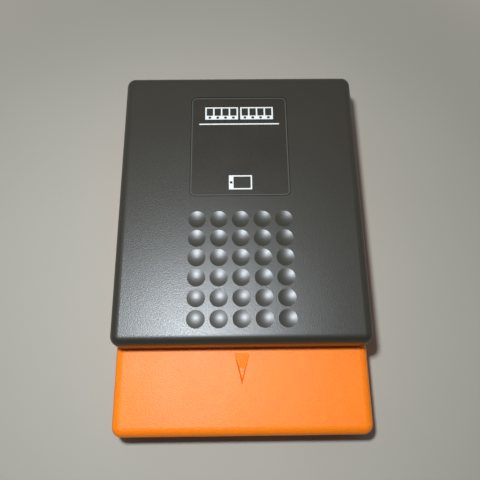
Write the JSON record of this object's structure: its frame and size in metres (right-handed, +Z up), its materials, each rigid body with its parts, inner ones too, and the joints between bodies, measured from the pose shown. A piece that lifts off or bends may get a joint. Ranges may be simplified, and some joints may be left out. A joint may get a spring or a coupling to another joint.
{
  "type": "film splicer",
  "caption": "Flat film splicer box: hinged dark lid with finger dimples over a film bed, clamps and cutter, with an orange patch drawer at the front.",
  "frame": {"origin": "centre of the footprint on the table, under the feet", "axes": "+X to the right, +Y to the lid hinge at the back, +Z up; the drawer pulls out along -Y"},
  "size_m": [0.072, 0.1088, 0.0217],
  "materials": {
    "orange_plastic": "fine satin moulded",
    "dark_plastic": "fine spark-eroded grain, satin",
    "label_plastic": "smooth, half gloss",
    "base_plastic": "moulded, dull",
    "rubber": "dull black rubber",
    "bed_metal": "brushed, clear anodised",
    "steel": "ground and polished",
    "spring_steel": "drawn wire",
    "screw_steel": "zinc plated",
    "clamp_plastic": "satin moulded",
    "pad_rubber": "soft grey rubber"
  },
  "bodies": {
    "case": {"lower_case": "orange_plastic", "base_plate": "base_plastic", "base_screws": "screw_steel", "rubber_feet": "rubber", "film_bed": "bed_metal", "register_pins": "steel", "film_bed_screws": "screw_steel", "lower_blade": "steel", "lower_blade_screws": "screw_steel", "cutter_spring": "spring_steel", "cutter_pivot_pin": "steel", "clamp_pivot_pins": "steel", "left_clamp_spring": "spring_steel", "right_clamp_spring": "spring_steel", "catch_spring": "spring_steel", "catch_screw": "screw_steel"},
    "lid": {"lid": "dark_plastic", "label_inlay": "label_plastic", "hinge_pins": "steel", "press_pad_holder": "clamp_plastic", "press_pad": "pad_rubber", "holder_screws": "screw_steel"},
    "drawer": {"patch_drawer": "orange_plastic"},
    "left_clamp": {"left_film_clamp": "clamp_plastic", "left_clamp_pad": "pad_rubber"},
    "right_clamp": {"right_film_clamp": "clamp_plastic", "right_clamp_pad": "pad_rubber"},
    "cutter": {"cutter_lever": "clamp_plastic", "cutter_blade": "steel", "cutter_blade_screws": "screw_steel", "cutter_grip": "orange_plastic"}
  },
  "joints": [
    {"name": "lid_hinge", "type": "hinge", "parent": "case", "child": "lid", "pos_m": [0, 0.0518, 0.0155], "axis": [-1, 0, 0], "range_deg": [0, 105]},
    {"name": "drawer_slide", "type": "slide", "parent": "case", "child": "drawer", "axis": [0, -1, 0], "range_m": [0, 0.03]},
    {"name": "left_clamp_hinge", "type": "hinge", "parent": "case", "child": "left_clamp", "pos_m": [0, 0.0054, 0.0143], "axis": [-1, 0, 0], "range_deg": [0, 52.5], "deforming": ["left_clamp_spring"]},
    {"name": "right_clamp_hinge", "type": "hinge", "parent": "case", "child": "right_clamp", "pos_m": [0, 0.0054, 0.0143], "axis": [-1, 0, 0], "range_deg": [0, 52.5], "deforming": ["right_clamp_spring"]},
    {"name": "cutter_hinge", "type": "hinge", "parent": "case", "child": "cutter", "pos_m": [0, 0.03, 0.0144], "axis": [-1, 0, 0], "range_deg": [0, 21], "deforming": ["cutter_spring"]}
  ],
  "couplings": [
    {"joint": "left_clamp_hinge", "follows": "lid_hinge", "ratio": 0.5},
    {"joint": "right_clamp_hinge", "follows": "lid_hinge", "ratio": 0.5},
    {"joint": "cutter_hinge", "follows": "lid_hinge", "ratio": 0.2}
  ]
}
